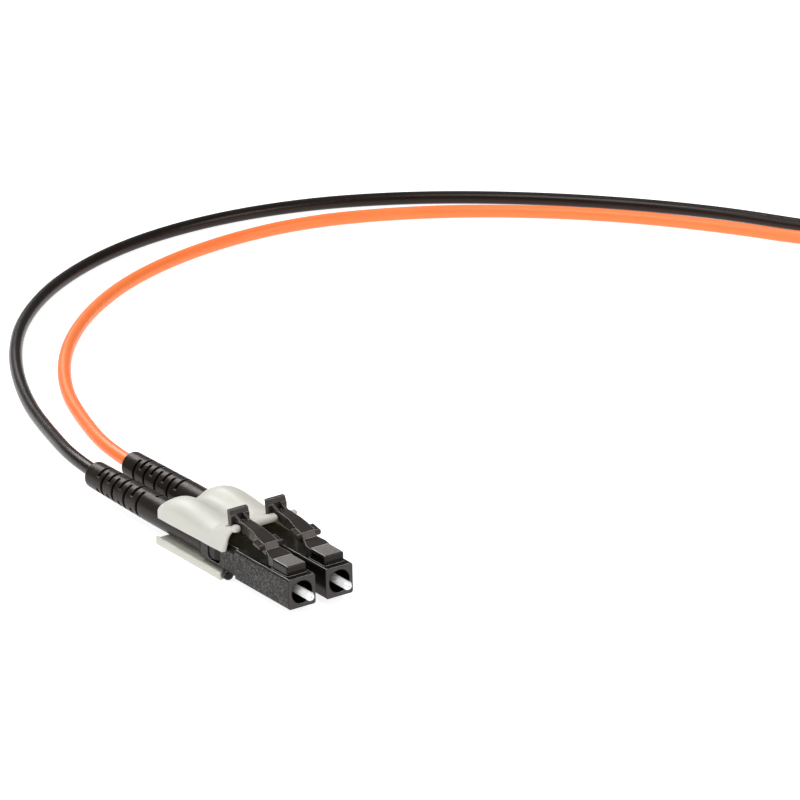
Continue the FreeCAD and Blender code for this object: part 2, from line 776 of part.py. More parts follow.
def bend_relief_boot(label, side, spin):
    """Moulded tube over the crimp, smooth in front and tapering behind, where rows of paired
    slots cross the wall by turns from top and bottom and from both sides."""
    body = new_body(label)
    sleeve_room = s.barrel_radius + s.inner_gap * 2 + s.crimp_wall
    neck_room = s.cord_radius + s.cord_gap + s.crimp_wall + s.inner_gap
    cord_room = s.cord_radius + s.cord_gap
    collar_seat = collar_rear + s.inner_gap
    collar_room = s.collar_radius + s.inner_gap
    neck_end = crimp_end + s.boot_step_gap
    cone_gap = s.inner_gap * 2
    outline = [
        (-boot_station, collar_room),
        (-boot_station, s.boot_radius),
        (-boot_taper_station, s.boot_radius),
        (-boot_rear, s.boot_tail_radius),
        (-boot_rear, cord_room),
        (-neck_end, cord_room),
        (-neck_end, neck_room),
        (-crimp_shoulder - s.crimp_cone - cone_gap, neck_room),
        (-crimp_shoulder - cone_gap, sleeve_room),
        (-collar_seat, sleeve_room),
        (-collar_seat, collar_room),
    ]
    tube = turned(body, "Revolution", f"{label}_turning", outline)
    rim = edges_where(
        tube,
        lambda b: close_to(b.XMin, -boot_rear)
        and close_to(b.XMax, -boot_rear)
        and b.YLength > s.boot_tail_radius.value * 1.5,
    )
    dress(body, "Fillet", f"{label}_rim", tube, rim, s.boot_end_round)

    # Slots alternate, nearer together towards the tail: from both sides, then from top and
    # bottom, and so on.  Each stops short of the middle and leaves two ribs.
    rows = {"side": [], "top": []}
    front = slot_station
    for count in range(int(s.slot_count.value)):
        rows["top" if count % 2 else "side"].append(front)
        front = front + s.slot_step - s.slot_step_loss * count
    reach = s.boot_radius + s.slot_width
    cuts = (
        ("top", "XY_Plane", 1, rows["top"]),
        ("bottom", "XY_Plane", -1, rows["top"]),
        ("left", "XZ_Plane", -1, rows["side"]),
        ("right", "XZ_Plane", 1, rows["side"]),
    )
    for name, role, way, stations in cuts:
        sketch = new_sketch(body, f"{label}_{name}_slots", role, s.slot_floor * way)
        for station in stations:
            rectangle(sketch, -station - s.slot_width, -station, -reach, reach)
        extrude(body, "Pocket", f"{label}_{name}_cut", sketch, reach, backwards=way > 0)
    for name, way in (("top", 1), ("bottom", -1)):
        sketch = new_sketch(body, f"{label}_{name}_short_slot", "XY_Plane", s.short_slot_floor * way)
        station = slot_station - s.short_slot_ahead
        half = s.short_slot_span / 2
        rectangle(sketch, -station - s.slot_width, -station, -half, half)
        extrude(body, "Pocket", f"{label}_{name}_short_cut", sketch, reach, backwards=way > 0)
    place(body, side, spin)
    return body


# ---------------------------------------------------------------- duplex clip


def spot(x, y, z):
    """A point of the pair's own frame from a station-style x, and y, z from the plug axes."""
    return FreeCAD.Vector(front_x.value + number(x), number(y), axis_height.value + number(z))


def hood_section(name, station, top, shoulder_drop, valley_drop, bottom, half=clip_half):
    """Cross-section of the hood: straight skirts and a top that swells over each plug and dips
    between them; each swell is two Bezier arcs that are level at its crown."""
    crown = s.pitch.value / 2
    crown_z = number(top)
    drop = number(shoulder_drop)
    shoulder = crown_z - drop
    valley = crown_z - number(valley_drop)
    width = number(half)
    dip = [(0.0, valley), (crown / 2, valley), (crown / 2, crown_z), (crown, crown_z)]
    turn = [
        (crown, crown_z),
        (crown + FULLNESS * (width - crown), crown_z),
        (width, shoulder + FULLNESS * drop),
        (width, shoulder),
    ]
    edges = []
    for way in (-1, 1):
        for poles in (dip, turn):
            curve = Part.BezierCurve()
            curve.setPoles([spot(-station, y * way, z) for y, z in poles])
            edges.append(curve.toShape())
        skirt_top = spot(-station, width * way, shoulder)
        edges.append(Part.makeLine(skirt_top, spot(-station, width * way, bottom)))
    edges.append(Part.makeLine(spot(-station, -width, bottom), spot(-station, width, bottom)))
    section = doc.addObject("Part::Feature", name)
    section.Shape = Part.Wire(Part.__sortEdges__(edges))
    return section


def loft(name, sections, ruled=False):
    solid = doc.addObject("Part::Loft", name)
    solid.Sections = sections
    solid.Solid = True
    solid.Ruled = ruled
    return solid


def block(name, x0, x1, y0, y1, z0, z1):
    """A box between two corners measured from the plug's front face and the plug axes."""
    box = doc.addObject("Part::Box", name)
    for prop, low, high in (("Length", x0, x1), ("Width", y0, y1), ("Height", z0, z1)):
        bind(box, prop, high - low)
    bind(box, "Placement.Base.x", front_x + x0)
    bind(box, "Placement.Base.y", y0)
    bind(box, "Placement.Base.z", axis_height + z0)
    return box


def rod(name, radius, x0, x1, y, z):
    """A cylinder along X between two stations."""
    bar = doc.addObject("Part::Cylinder", name)
    bind(bar, "Radius", radius)
    bind(bar, "Height", x1 - x0)
    turn = FreeCAD.Rotation(FreeCAD.Vector(0, 1, 0), 90)
    bar.Placement = FreeCAD.Placement(FreeCAD.Vector(0, 0, 0), turn)
    bind(bar, "Placement.Base.x", front_x + x0)
    bind(bar, "Placement.Base.y", y)
    bind(bar, "Placement.Base.z", axis_height + z)
    return bar


def fuse(name, pieces):
    joined = doc.addObject("Part::MultiFuse", name)
    joined.Shapes = pieces
    return joined


def cut_away(name, base, tool):
    result = doc.addObject("Part::Cut", name)
    result.Base = base
    result.Tool = tool
    return result


def brow_line():
    """Front edge of the hood from the side: a shallow hollow arc from the skirt's lower corner
    up to the lip, as a function that gives its x at a height."""
    foot_x = -number(clip_rear - s.brow_run)
    lip_x = -number(clip_rear - s.lip_run)
    low = s.skirt_front.value
    high = plug_half.value + s.hood_crest_rise.value
    middle_x = (foot_x + lip_x) / 2 - s.brow_hollow.value
    ends = [(foot_x, low), (middle_x, (low + high) / 2), (lip_x, high)]
    arc = Part.Arc(*[FreeCAD.Vector(x, 0, z) for x, z in ends]).toShape().Curve
    centre = arc.Center
    way = math.copysign(1.0, middle_x - centre.x)

    def x_at(z):
        return centre.x + way * math.sqrt(arc.Radius**2 - (z - centre.z) ** 2)

    return x_at


def brow_cutter(name, x_at):
    """Everything ahead of the hood's curved front edge."""
    low = s.skirt_front.value - s.roof_thickness.value
    high = plug_half.value + s.hood_crest_rise.value + s.roof_thickness.value
    ahead = -s.mouth_depth.value
    wide = clip_half.value + s.clip_wall.value
    corners = [spot(x_at(low), -wide, low), spot(x_at(high), -wide, high)]
    middle = (low + high) / 2
    edge = Part.Arc(corners[0], spot(x_at(middle), -wide, middle), corners[1]).toShape()
    far = [spot(ahead, -wide, high), spot(ahead, -wide, low)]
    lines = [Part.makeLine(corners[1], far[0]), Part.makeLine(*far), Part.makeLine(far[1], corners[0])]
    cutter = doc.addObject("Part::Feature", name)
    cutter.Shape = Part.Face(Part.Wire([edge] + lines)).extrude(FreeCAD.Vector(0, 2 * wide, 0))
    return cutter


def front_rim(name, way, x_at):
    """Rolled edge down one skirt's front, from the lip to the skirt's lower corner."""
    radius = s.rim_radius.value
    side_y = clip_half.value - radius
    crest = plug_half.value + s.hood_crest_rise.value
    foot = s.skirt_front.value + radius
    drop = s.crest_shoulder.value
    heights = [(side_y, foot), (side_y, (foot + crest - drop) / 2)]
    heights += [(side_y - radius * u, crest - drop * v) for u, v in RIM_PATH]
    points = [spot(x_at(z), y * way, z) for y, z in heights]
    curve = Part.BSplineCurve()
    curve.interpolate(points)
    start, ahead = curve.value(curve.FirstParameter), curve.tangent(curve.FirstParameter)[0]
    section = Part.Wire(Part.makeCircle(radius, start, ahead))
    rim = doc.addObject("Part::Feature", name)
    tube = Part.Wire(curve.toShape()).makePipeShell([section], True, False)
    rim.Shape = tube.fuse(Part.makeSphere(radius, start)).removeSplitter()
    return rim


def lip_bead(name, y0, y1, round_start, round_end):
    """A length of the lip's rolled edge along Y, with a ball end where a latch arm passes."""
    x = -(clip_rear - s.lip_run)
    z = plug_half + s.hood_crest_rise - s.lip_radius
    bar = doc.addObject("Part::Cylinder", f"{name}_bar")
    bind(bar, "Radius", s.lip_radius)
    bind(bar, "Height", y1 - y0)
    turn = FreeCAD.Rotation(FreeCAD.Vector(1, 0, 0), -90)
    bar.Placement = FreeCAD.Placement(FreeCAD.Vector(0, 0, 0), turn)
    bind(bar, "Placement.Base.x", front_x + x)
    bind(bar, "Placement.Base.y", y0)
    bind(bar, "Placement.Base.z", axis_height + z)
    parts = [bar]
    for y, wanted, tag in ((y0, round_start, "start"), (y1, round_end, "end")):
        if wanted:
            ball = doc.addObject("Part::Sphere", f"{name}_{tag}")
            bind(ball, "Radius", s.lip_radius)
            bind(ball, "Placement.Base.x", front_x + x)
            bind(ball, "Placement.Base.y", y)
            bind(ball, "Placement.Base.z", axis_height + z)
            parts.append(ball)
    return parts


def duplex_clip(label):
    """One springy moulding: floor plate, middle web and a hood that swells over both boots,
    rises to a rounded lip above the plugs and is notched for the two latch arms."""
    inner = clip_half - s.clip_wall
    web_half = s.pitch / 2 - bay_half
    channel = s.boot_radius + s.clip_gap
    top = plug_half
    swell = number(clip_rear - s.swell_run)
    level = number(clip_rear - s.level_run)
    crease = number(clip_rear - s.crease_run)
    crest = number(clip_rear - s.crest_run)
    front = number(s.paddle_station - s.neck_station) + s.mouth_depth.value
    rear_foot = s.skirt_rear.value
    front_foot = s.skirt_front.value
    middle_foot = (rear_foot + front_foot) / 2
    crest_top = number(top + s.hood_crest_rise)
    crease_top = number(top + s.hood_crease_rise)
    crest_form = (crest_top, s.crest_shoulder, s.crest_dip, front_foot)

    # station, crown height, drop to the shoulder, drop to the valley, lower edge
    rear_forms = {
        "rear": (number(clip_rear), top + s.hood_rear_rise, s.rear_shoulder, s.rear_valley, rear_foot),
        "swell": (swell, top + s.hood_swell_rise, s.swell_shoulder, s.swell_valley, rear_foot),
        "level": (level, top + s.hood_level_rise, s.level_shoulder, s.level_valley, middle_foot),
        "crease": (crease, crease_top, s.crease_shoulder, s.crease_valley, middle_foot),
    }
    rear_sections = [hood_section(f"{label}_{name}", *form) for name, form in rear_forms.items()]
    front_sections = [
        rear_sections[-1],
        hood_section(f"{label}_crest", crest, *crest_form),
        hood_section(f"{label}_front", front, *crest_form),
    ]
    hood_rear = loft(f"{label}_hood_rear", rear_sections)
    hood_front = loft(f"{label}_hood_front", front_sections, ruled=True)

    floor = block(
        f"{label}_floor_blank",
        -clip_rear - s.floor_overrun,
        -floor_front,
        -clip_half,
        clip_half,
        -axis_height,
        -bay_half,
    )
    doc.recompute()
    plate = doc.addObject("Part::Fillet", f"{label}_floor")
    plate.Base = floor
    plate.Edges = [(n, s.floor_round.value, s.floor_round.value) for n in range(1, 13)]
    rims = []
    for way in (-1, 1):
        low_y, high_y = sorted((clip_half * way, (clip_half - s.clip_wall) * way), key=number)
        rim_top = s.floor_rim_rise - bay_half
        ends = (-clip_rear - s.floor_overrun, -floor_front)
        blank = block(f"{label}_floor_rim_blank_{way + 1}", *ends, low_y, high_y, -axis_height, rim_top)
        doc.recompute()
        rim = doc.addObject("Part::Fillet", f"{label}_floor_rim_{way + 1}")
        rim.Base = blank
        rim.Edges = [(n, s.floor_rim_round.value, s.floor_rim_round.value) for n in range(1, 13)]
        rims.append(rim)
    web_rear = -clip_rear + s.web_inset
    web_front = -s.housing_length + s.web_cover
    web_foot = -bay_half - s.floor_round
    web = block(f"{label}_web", web_rear, web_front, -web_half, web_half, web_foot, plug_half)

    x_at = brow_line()
    roof = s.roof_thickness.value
    drop = s.crest_shoulder - s.clip_wall
    low = plug_half.value
    void_rear = crease + roof
    void_forms = {
        "rear": (void_rear, crease_top - roof, s.mouth_shoulder, 0.0, low, inner),
        "crest": (crest, crest_top - roof, drop, 0.0, low, inner),
        "front": (front, crest_top - roof, drop, 0.0, low, inner),
    }
    void_sections = [hood_section(f"{label}_mouth_{name}", *form) for name, form in void_forms.items()]
    void = loft(f"{label}_mouth", void_sections, ruled=True)
    tools = [brow_cutter(f"{label}_brow_cut", x_at), void]
    paddle_half = s.paddle_width / 2 + s.paddle_room
    slit = s.notch_width / 2
    high = plug_half + s.hood_crest_rise + s.roof_thickness
    neck_x = -s.paddle_station + s.paddle_room * 2
    well_rear = -s.paddle_station - s.paddle_thickness - s.paddle_lean - s.paddle_room_depth
    for name, side in SIDES:
        tag = f"{label}_{name}"
        centre = s.pitch * (side / 2)
        reach = clip_rear + s.floor_overrun * 2
        tools.append(rod(f"{tag}_channel", channel, -reach, -s.housing_length, centre, 0.0))
        plug_rear = -s.housing_length - s.inner_gap * 2
        ends = (centre - bay_half, centre + bay_half)
        tools.append(block(f"{tag}_bay", plug_rear, -s.mouth_depth, *ends, -bay_half, bay_half))
        ends = (centre - slit, centre + slit)
        tools.append(block(f"{tag}_slit", neck_x, -s.mouth_depth, *ends, plug_half, high))
        ends = (centre - paddle_half, centre + paddle_half)
        tools.append(block(f"{tag}_well", well_rear, neck_x, *ends, plug_half, high))
    shell = cut_away(
        f"{label}_shell",
        fuse(f"{label}_mass", [hood_rear, hood_front, web]),
        fuse(f"{label}_channels", tools),
    )

    arm_room = s.neck_width / 2 + s.bead_end_gap + s.lip_radius
    outer_end = clip_half - s.lip_radius * 2
    lip = []
    for name, side in SIDES:
        lip.append(front_rim(f"{label}_{name}_rim", side, x_at))
    lip += lip_bead(f"{label}_lip_near", -outer_end, -s.pitch / 2 - arm_room, True, True)
    lip += lip_bead(f"{label}_lip_middle", -s.pitch / 2 + arm_room, s.pitch / 2 - arm_room, True, True)
    lip += lip_bead(f"{label}_lip_far", s.pitch / 2 + arm_room, outer_end, True, True)
    clip = fuse(label, [shell, plate] + rims + lip)
    clip.Label = label
    return clip


# ---------------------------------------------------------------- cords, coils and ties


# Corners of each cord's route over the floor in the finished frame, from the boot's rear
# end to the stored coil.  Before them the cord runs straight out of its crimp sleeve.
NEAR_ROUTE = [
    (-34.0, -3.125, 3.35),
    (-46.5, 1.1, 2.1),
    (-61.0, 6.6, 1.0),
    (-75.8, 13.8, 1.0),
    (-88.6, 23.3, 1.0),
    (-99.0, 36.3, 1.0),
    (-105.6, 52.0, 1.0),
    (-107.2, 68.5, 1.0),
    (-104.6, 84.5, 1.0),
    (-97.8, 98.5, 1.0),
    (-88.5, 111.0, 1.0),
    (-77.0, 122.8, 1.0),
    (-63.0, 133.8, 1.0),
    (-47.5, 142.0, 1.1),
    (-33.9, 148.7, 1.6),
]
FAR_ROUTE = [
    (-34.0, 3.125, 3.35),
    (-47.0, 7.4, 2.1),
    (-62.0, 13.6, 1.0),
    (-74.8, 22.0, 1.0),
    (-85.6, 33.3, 1.0),
    (-93.6, 47.0, 1.0),
    (-97.6, 63.0, 1.0),
    (-97.2, 79.0, 1.0),
    (-91.2, 93.6, 1.0),
    (-82.0, 107.2, 1.0),
    (-70.6, 119.2, 1.0),
    (-56.6, 129.8, 1.0),
    (-43.0, 137.6, 1.0),
    (-31.0, 143.2, 3.8),
    (-26.6, 151.5, 7.9),
    (-26.8, 161.0, 8.1),
]


def cord(label, side, route):
    """Round jacketed cord: straight runs joined by tangent arcs, each as large as its runs
    allow.  It starts inside the crimp sleeve."""
    start = spot(-number(jacket_station), side * s.pitch.value / 2, 0.0)
    points = [start] + [FreeCAD.Vector(*p) for p in route]
    edges = []
    radii = []
    last = points[0]
    for before, corner, after in zip(points, points[1:], points[2:]):
        back = (before - corner).normalize()
        ahead = (after - corner).normalize()
        turn = math.pi - back.getAngle(ahead)
        trim = ARC_SHARE * min(before.distanceToPoint(corner), corner.distanceToPoint(after))
        radii.append(trim / math.tan(turn / 2))
        arc_start = corner + back * trim
        arc_end = corner + ahead * trim
        bisector = (back + ahead).normalize()
        centre = corner + bisector * math.hypot(trim, radii[-1])
        middle = centre - bisector * radii[-1]
        edges.append(Part.LineSegment(last, arc_start).toShape())
        edges.append(Part.Arc(arc_start, middle, arc_end).toShape())
        last = arc_end
    edges.append(Part.LineSegment(last, points[-1]).toShape())
    path = Part.Wire(edges)
    ring = Part.Wire(Part.makeCircle(s.cord_radius.value, start, points[1] - points[0]))
    tube = doc.addObject("Part::Feature", label)
    tube.Label = label
    tube.Shape = path.makePipeShell([ring], True, False)
    expected = math.pi * s.cord_radius.value**2 * path.Length
    share = tube.Shape.Volume / expected
    print(f"{label}: {path.Length:.1f} mm, volume {share:.4f} of section x length,", end=" ")
    print("radii", [round(r, 1) for r in radii])
    return tube


def coil_ring(label, level):
    """Outer form of one cord's stored turns: a ring as many cord diameters wide as high."""
    coil = new_body(label)
    side = s.cord_radius * 2 * s.coil_rows + s.cord_gap * 2
    inside = s.coil_radius - side / 2
    outside = s.coil_radius + side / 2
    bottom = s.tie_thickness + s.tie_gap + side * level
    top = bottom + side
    edge = s.cord_radius / 2
    sketch = new_sketch(coil, f"{label}_section", "XZ_Plane")
    corners = [
        (inside + edge, bottom),
        (outside - edge, bottom),
        (outside, bottom + edge),
        (outside, top - edge),
        (outside - edge, top),
        (inside + edge, top),
        (inside, top - edge),
        (inside, bottom + edge),
    ]
    polygon(sketch, corners)
    turning = coil.newObject("PartDesign::Revolution", f"{label}_turning")
    turning.Profile = sketch
    turning.ReferenceAxis = (sketch, ["V_Axis"])
    turning.Angle = 360
    bind(coil, "Placement.Base.x", s.coil_x)
    bind(coil, "Placement.Base.y", s.coil_y)
    return coil


def coil_tie(label, bearing):
    """Flat strap closed round both coils at one place; the coils stand on the two straps."""
    tie = new_body(label)
    side = s.cord_radius * 2 * s.coil_rows + s.cord_gap * 2
    inside = s.coil_radius - side / 2 - s.tie_gap - s.tie_slack
    outside = s.coil_radius + side / 2 + s.tie_gap
    stack = s.tie_gap * 2 + side * 2
    sketch = new_sketch(tie, f"{label}_section", "XZ_Plane")
    t = s.tie_thickness
    for u0, u1, v0, v1 in (
        (inside - t, outside + t, 0.0, stack + t * 2),
        (inside, outside, t, stack + t),
    ):
        rectangle(sketch, u0, u1, v0, v1)
    extrude(tie, "Pad", f"{label}_band", sketch, s.tie_width, both_ways=True)
    tie.Placement = FreeCAD.Placement(
        FreeCAD.Vector(0, 0, 0), FreeCAD.Rotation(FreeCAD.Vector(0, 0, 1), bearing)
    )
    bind(tie, "Placement.Base.x", s.coil_x)
    bind(tie, "Placement.Base.y", s.coil_y)
    return tie


# ---------------------------------------------------------------- the whole connector

pieces = []
ROUTES = {"near": NEAR_ROUTE, "far": FAR_ROUTE}
for level, (name, side) in enumerate(SIDES):
    pieces.append(plug_housing(f"plug_housing_{name}", side))
    pieces.append(latch_lever(f"latch_lever_{name}", side))
    pieces.append(ferrule(f"ferrule_{name}", side))
    pieces.append(ferrule_flange(f"ferrule_flange_{name}", side))
    pieces.append(coil_spring(f"ferrule_spring_{name}", side))
    pieces.append(buffered_fibre(f"buffered_fibre_{name}", side))
    pieces.append(rear_body(f"rear_body_{name}", side))
    pieces.append(crimp_sleeve(f"crimp_sleeve_{name}", side))
    pieces.append(bend_relief_boot(f"boot_{name}", side, BOOT_TURNS[name]))
    pieces.append(cord(f"cord_{name}", side, ROUTES[name]))
    pieces.append(coil_ring(f"cord_coil_{name}", level))
pieces.append(duplex_clip("duplex_clip"))
for name, bearing in TIE_BEARINGS.items():
    pieces.append(coil_tie(name, bearing))

doc.recompute()
wrong = [thing.Name for thing in doc.Objects if {"Invalid", "Error"} & set(thing.State)]
if wrong:
    raise RuntimeError(f"failed: {wrong}")
os.makedirs("parts", exist_ok=True)
for piece in pieces:
    shape = piece.Shape
    if shape.isNull() or not shape.isValid() or len(shape.Solids) != 1:
        raise RuntimeError(f"{piece.Label} has no valid single solid")
    print(f"{piece.Label}: volume {shape.Volume:.2f} mm3")
for piece in pieces:
    piece.Shape.exportStep(f"parts/{piece.Label}.step")
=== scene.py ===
"""Duplex fibre pigtail: two small push-in plugs in one clip, on a black and an orange cord."""

import math

import bpy
import numpy as np
from mathutils import Matrix, Vector


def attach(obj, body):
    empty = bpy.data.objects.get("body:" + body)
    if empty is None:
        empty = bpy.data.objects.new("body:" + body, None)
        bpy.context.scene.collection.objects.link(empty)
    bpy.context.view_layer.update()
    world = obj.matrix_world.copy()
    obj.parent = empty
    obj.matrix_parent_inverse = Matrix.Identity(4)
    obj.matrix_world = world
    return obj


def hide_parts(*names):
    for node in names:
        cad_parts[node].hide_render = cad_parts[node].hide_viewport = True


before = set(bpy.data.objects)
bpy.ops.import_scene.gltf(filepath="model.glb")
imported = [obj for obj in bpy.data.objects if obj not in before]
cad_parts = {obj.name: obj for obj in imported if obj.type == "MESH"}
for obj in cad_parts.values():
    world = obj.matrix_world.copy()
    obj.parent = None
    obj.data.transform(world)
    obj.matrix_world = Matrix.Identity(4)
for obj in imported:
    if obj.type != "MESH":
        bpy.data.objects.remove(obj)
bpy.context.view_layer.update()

scene = bpy.context.scene
scene.view_settings.view_transform = "Standard"


# ---------------------------------------------------------------- camera
# A long lens close to the table, turned so that the plug faces come forward and the
# cords sweep away behind. The roll is that of a hand-levelled tripod, about a degree.

turn, rise, roll = math.radians(55.68), math.radians(22.23), math.radians(-1.02)
back = Vector((math.sin(turn) * math.cos(rise), -math.cos(turn) * math.cos(rise), math.sin(rise)))
level = Vector((math.cos(turn), math.sin(turn), 0.0))
upward = back.cross(level)
right = level * math.cos(roll) + upward * math.sin(roll)
top = upward * math.cos(roll) - level * math.sin(roll)
nose_tip = Vector((0.02505, 0.0, 0.00335))  # between the two front faces
distance = 1.2
focal_mm = 391.0
# Where the nose tip stands from the lens's axis: metres to the right, and metres up.
aside = -0.010956
above = -0.025741
eye = nose_tip - right * aside - top * above + back * distance

lens = bpy.data.cameras.new("studio_camera")
lens.lens = focal_mm
lens.sensor_width = 36.0
lens.clip_start = 0.05
lens.clip_end = 20.0
camera = bpy.data.objects.new("studio_camera", lens)
camera.matrix_world = Matrix.Translation(eye) @ Matrix((right, top, back)).transposed().to_4x4()
scene.collection.objects.link(camera)
scene.camera = camera


# ---------------------------------------------------------------- floor and light
# A sheet of white acrylic that glows softly from below, so that it reads as plain white
# and keeps only faint shadows. Four soft boxes in a dim room: one at the back left, that
# draws the bright lines along the plugs' edges, one high up, and two lower ones in front.

mm = 0.001  # in the scene's metres
floor_reach = 3.0


def colour(code):
    """Linear red, green, blue and alpha of an sRGB hex colour: each channel is divided by
    12.92 below 0.04045, and otherwise raised to 2.4 after adding 0.055 and dividing by 1.055."""
    channels = [int(code[i:i + 2], 16) / 255 for i in (1, 3, 5)]
    linear = [c / 12.92 if c <= 0.04045 else ((c + 0.055) / 1.055) ** 2.4 for c in channels]
    return (*linear, 1.0)


def per_metre(size_mm):
    """Scale of a pattern whose features have the given size: how many go into one metre,
    which is the unit of Object coordinates."""
    return 1 / (size_mm * mm)


def add(tree, kind, inputs=(), **settings):
    """Adds one shader node. inputs maps a socket's name or number to a value or to the
    output socket that is linked into it; settings are the node's own attributes."""
    made = tree.nodes.new(kind)
    for name, value in settings.items():
        setattr(made, name, value)
    for socket, value in dict(inputs).items():
        if isinstance(value, bpy.types.NodeSocket):
            tree.links.new(value, made.inputs[socket])
        else:
            made.inputs[socket].default_value = value
    return made


def new_finish(name):
    """An empty node material with its output node."""
    made = bpy.data.materials.new(name)
    made.use_nodes = True
    made.node_tree.nodes.clear()
    return made, made.node_tree, made.node_tree.nodes.new("ShaderNodeOutputMaterial")


def lit_sheet_finish():
    """Sandblasted white acrylic over a light table: a faint tooth about 1 mm across, and a
    glow from below."""
    made, tree, out = new_finish("lit_white_acrylic")
    place = add(tree, "ShaderNodeTexCoord")
    tooth = add(
        tree, "ShaderNodeTexNoise",
        {"Vector": place.outputs["Object"], "Scale": per_metre(1.111), "Detail": 2.0},
    )
    tone = add(
        tree, "ShaderNodeMapRange",
        {"Value": tooth.outputs["Fac"], "To Min": 0.5, "To Max": 0.52},
    )
    skin = add(
        tree, "ShaderNodeBsdfPrincipled",
        {"Base Color": tone.outputs["Result"], "Roughness": 0.9},
    )
    skin.inputs["Specular IOR Level"].default_value = 0.1
    skin.inputs["Emission Color"].default_value = colour("#FFFFFF")
    skin.inputs["Emission Strength"].default_value = 0.86
    tree.links.new(skin.outputs["BSDF"], out.inputs["Surface"])
    return made


corners = [
    (-floor_reach, -floor_reach, 0), (floor_reach, -floor_reach, 0),
    (floor_reach, floor_reach, 0), (-floor_reach, floor_reach, 0),
]
floor_mesh = bpy.data.meshes.new("floor")
floor_mesh.from_pydata(corners, [], [(0, 1, 2, 3)])
floor_mesh.materials.append(lit_sheet_finish())
floor = bpy.data.objects.new("floor", floor_mesh)
scene.collection.objects.link(floor)

sky = bpy.data.worlds.new("studio")
scene.world = sky
sky.use_nodes = True
sky.node_tree.nodes["Background"].inputs["Color"].default_value = colour("#FFFFFF")
sky.node_tree.nodes["Background"].inputs["Strength"].default_value = 0.16


def soft_light(name, place, aim, side, watts):
    """A square soft box of the given side, in metres, that looks from place to aim."""
    lamp = bpy.data.lights.new(name, "AREA")
    lamp.shape = "SQUARE"
    lamp.size = side
    lamp.energy = watts
    box = bpy.data.objects.new(name, lamp)
    box.rotation_mode = "QUATERNION"
    box.location = place
    box.rotation_quaternion = (Vector(aim) - Vector(place)).to_track_quat("-Z", "Y")
    scene.collection.objects.link(box)


soft_light("back_box", place=(-0.62, 0.12, 0.5), aim=(0.0, 0.0, 0.0), side=0.34, watts=3.4)
soft_light("high_box", place=(0.04, -0.3, 0.85), aim=(-0.03, 0.05, 0.0), side=0.45, watts=4.2)
soft_light("left_box", place=(-0.15, -0.65, 0.4), aim=(-0.02, 0.02, 0.0), side=0.4, watts=1.6)
soft_light("front_box", place=(0.6, 0.3, 0.4), aim=(0.0, 0.0, 0.0), side=0.35, watts=1.8)


# ---------------------------------------------------------------- fibre cords
# Round 2 mm simplex fibre cords, a PVC jacket over aramid yarn and the buffered fibre.
# Each leaves its boot, sweeps over the table and is wound, nine turns, into a tied coil;
# the far ends are left bare to be spliced.

cord_radius = 0.001
coil_centre = (-0.041, 0.161)
layer = [0.0142, 0.0122, 0.0102]  # radii of the turns that lie side by side
winding = layer + layer[::-1] + layer  # inwards, outwards and inwards again
steps = 16  # control points to a turn
ease_from = 0.75  # share of a turn after which it moves over to the next one


def stored_turns(start_deg, first_height):
    """Control points of the wound turns, anticlockwise from start_deg. A turn keeps its
    radius for three quarters of the way round and then eases over to the next turn's; every
    third turn the layer rises one cord. The points stand outside the turn by 1/cos(pi/steps),
    because the curve runs through the middles of its control polygon's sides."""
    radii = np.array(winding)
    heights = first_height + 2 * cord_radius * (np.arange(len(winding)) // len(layer))
    at = np.arange(1, len(winding) * steps - 1)
    turn_number = at // steps
    share = (at % steps) / steps
    ease = np.clip((share - ease_from) / (1 - ease_from), 0.0, 1.0)
    ease = ease * ease * (3 - 2 * ease)
    following = np.minimum(turn_number + 1, len(winding) - 1)
    radius = radii[turn_number] * (1 - ease) + radii[following] * ease
    height = heights[turn_number] * (1 - ease) + heights[following] * ease
    angle = math.radians(start_deg) + 2 * math.pi * at / steps
    radius = radius / math.cos(math.pi / steps)
    x = coil_centre[0] + radius * np.cos(angle)
    y = coil_centre[1] + radius * np.sin(angle)
    return list(zip(x.tolist(), y.tolist(), height.tolist()))


def jacket_finish(name, body, worn, rough, shine):
    """Extruded PVC jacket: a soft sheen that is a little uneven over some 5 mm, because the
    jacket is drawn over loose yarn, with a fine matt drawing grain of about 0.15 mm."""
    made, tree, out = new_finish(name)
    place = add(tree, "ShaderNodeTexCoord")
    cloud = add(
        tree, "ShaderNodeTexNoise",
        {"Vector": place.outputs["Object"], "Scale": per_metre(5.556), "Detail": 3.0},
    )
    grain = add(
        tree, "ShaderNodeTexNoise",
        {"Vector": place.outputs["Object"], "Scale": per_metre(0.1538), "Detail": 2.0},
    )
    base = add(
        tree, "ShaderNodeMix",
        {"Factor": cloud.outputs["Fac"], 6: colour(body), 7: colour(worn)},
        data_type="RGBA",
    )
    gloss = add(
        tree, "ShaderNodeMapRange",
        {"Value": cloud.outputs["Fac"], "To Min": rough, "To Max": rough + 0.12},
    )
    relief = add(
        tree, "ShaderNodeBump",
        {"Height": grain.outputs["Fac"], "Strength": 0.25, "Distance": 0.06 * mm},
    )
    skin = add(
        tree, "ShaderNodeBsdfPrincipled",
        {
            "Base Color": base.outputs[2],
            "Roughness": gloss.outputs["Result"],
            "Normal": relief.outputs["Normal"],
        },
    )
    skin.inputs["IOR"].default_value = 1.52
    skin.inputs["Specular IOR Level"].default_value = shine
    skin.inputs["Specular Tint"].default_value = colour("#FFF2EA")
    tree.links.new(skin.outputs["BSDF"], out.inputs["Surface"])
    return made


